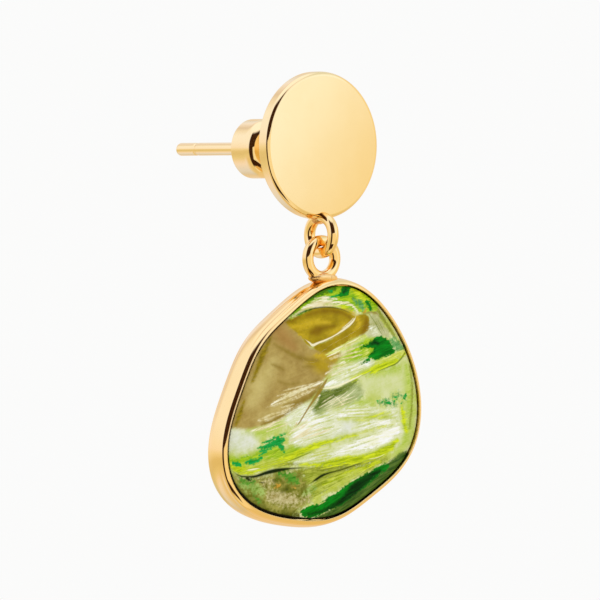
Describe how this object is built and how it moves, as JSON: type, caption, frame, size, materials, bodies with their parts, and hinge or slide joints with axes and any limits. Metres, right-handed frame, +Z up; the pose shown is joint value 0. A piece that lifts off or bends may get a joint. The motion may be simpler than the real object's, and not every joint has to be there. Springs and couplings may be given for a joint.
{
  "type": "stud drop earring",
  "caption": "Drop earring: a round disc on a straight post with an ear nut, and a framed marbled pebble stone that swings on two linked wire loops.",
  "frame": {"origin": "the post's axis at the disc's back face, where the front of the ear lobe sits", "axes": "+Z up with the drop hanging towards -Z, +Y along the post through the lobe, and the disc and stone facing -Y"},
  "size_m": [0.0187, 0.0169, 0.0319],
  "materials": {
    "gold": "brass with a polished pale yellow gold plating",
    "marbled_stone": "glossy cast resin pebble, marbled olive, green and pearl white"
  },
  "bodies": {
    "stud": {"stud": "gold"},
    "nut": {"ear_nut": "gold"},
    "drop": {"bezel": "gold", "stone": "marbled_stone"}
  },
  "joints": [
    {"name": "nut_slide", "type": "slide", "parent": "stud", "child": "nut", "axis": [0, 1, 0], "range_m": [-0.0041, 0.0104]},
    {"name": "drop_swing", "type": "hinge", "parent": "stud", "child": "drop", "pos_m": [0, -0.00075, -0.00732], "axis": [0, 1, 0], "range_deg": [-60, 60]}
  ]
}
